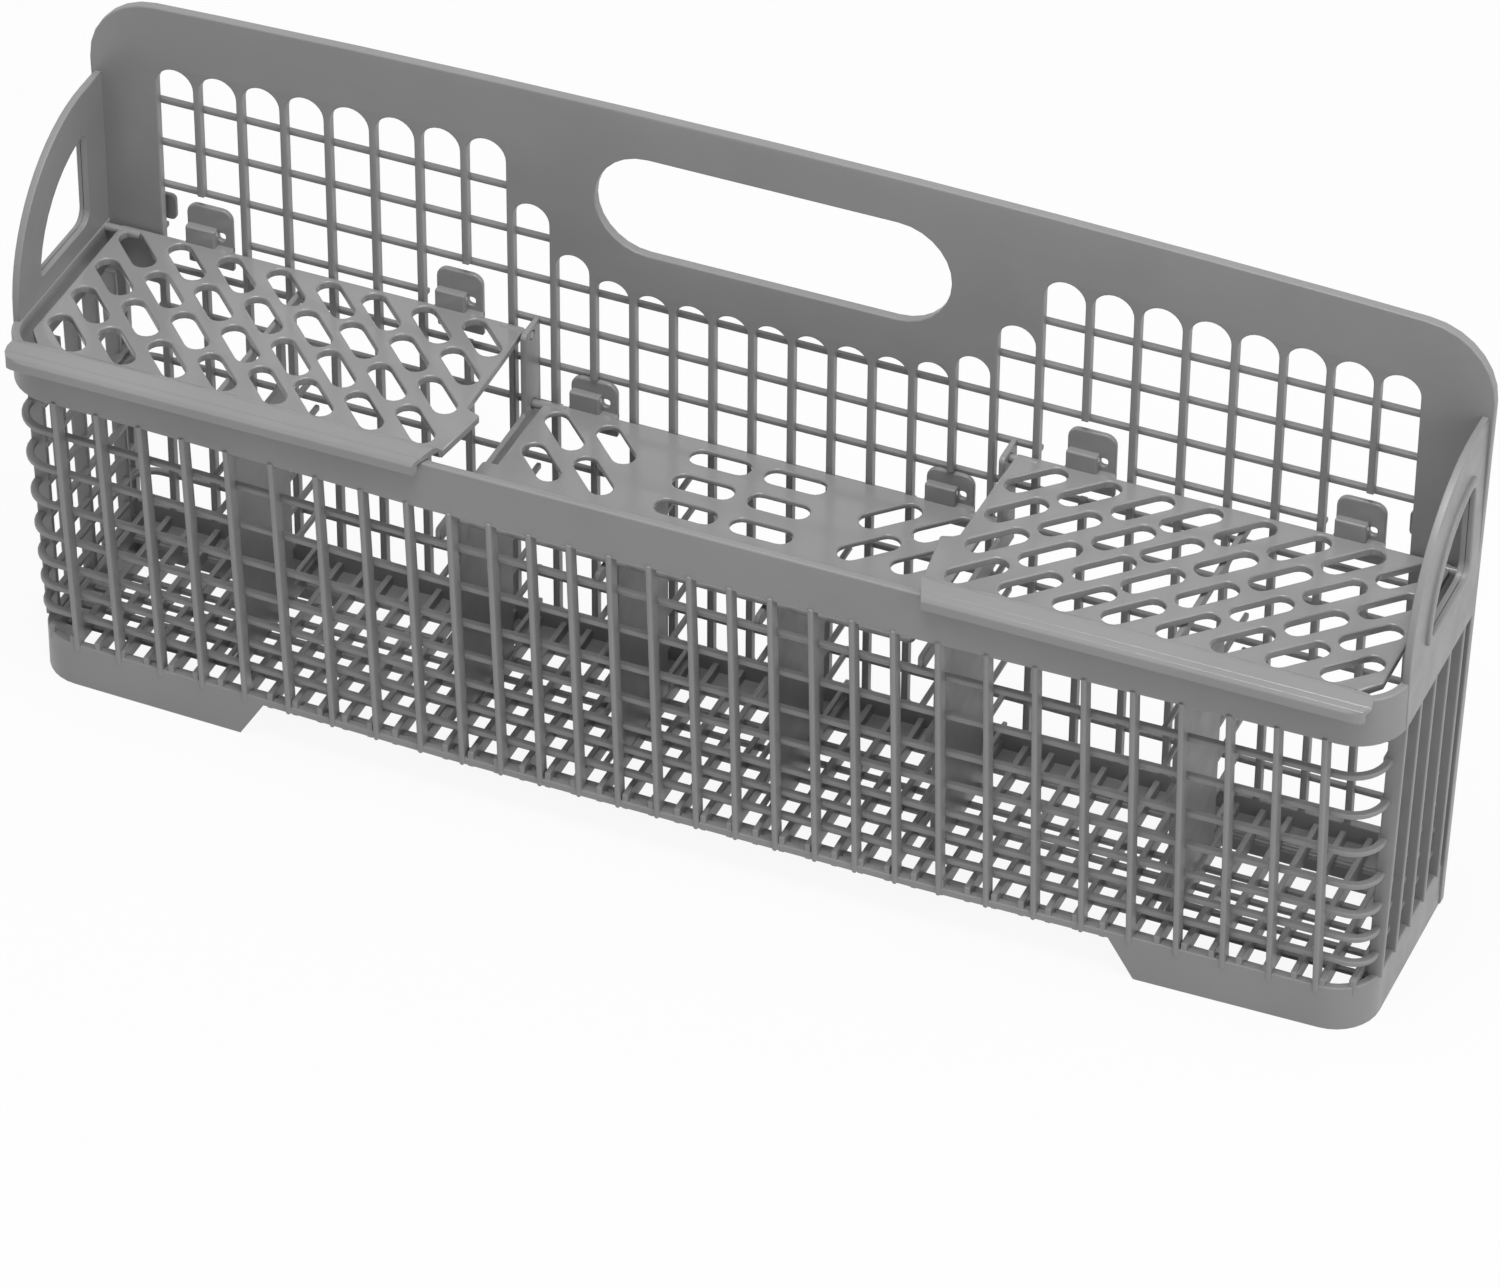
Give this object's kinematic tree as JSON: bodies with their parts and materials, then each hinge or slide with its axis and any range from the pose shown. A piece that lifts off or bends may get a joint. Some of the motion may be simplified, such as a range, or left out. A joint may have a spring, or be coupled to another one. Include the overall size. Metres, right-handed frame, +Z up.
{
  "type": "dishwasher basket",
  "caption": "Long plastic lattice basket for cutlery with a tall back panel, handle slot, end wings, open floor, dividers and hinged slotted lids.",
  "frame": {"origin": "centre of the footprint of the whole basket, on the surface that the feet stand on", "axes": "+Z up, +X along the length to the right seen from the front, +Y from the front wall to the tall back panel"},
  "size_m": [0.495, 0.0956, 0.2379],
  "materials": {
    "plastic": "satin moulded grey polypropylene"
  },
  "bodies": {
    "basket": {"basket": "plastic"},
    "left_lid": {"left_lid": "plastic"},
    "middle_lid": {"middle_lid": "plastic"},
    "right_lid": {"right_lid": "plastic"}
  },
  "joints": [
    {"name": "left_lid_hinge", "type": "hinge", "parent": "basket", "child": "left_lid", "pos_m": [-0.163, 0.0375, 0.14095], "axis": [-1, 0, 0], "range_deg": [0, 85]},
    {"name": "middle_lid_hinge", "type": "hinge", "parent": "basket", "child": "middle_lid", "pos_m": [0, 0.0375, 0.11295], "axis": [-1, 0, 0], "range_deg": [0, 85]},
    {"name": "right_lid_hinge", "type": "hinge", "parent": "basket", "child": "right_lid", "pos_m": [0.163, 0.0375, 0.14095], "axis": [-1, 0, 0], "range_deg": [0, 85]}
  ]
}
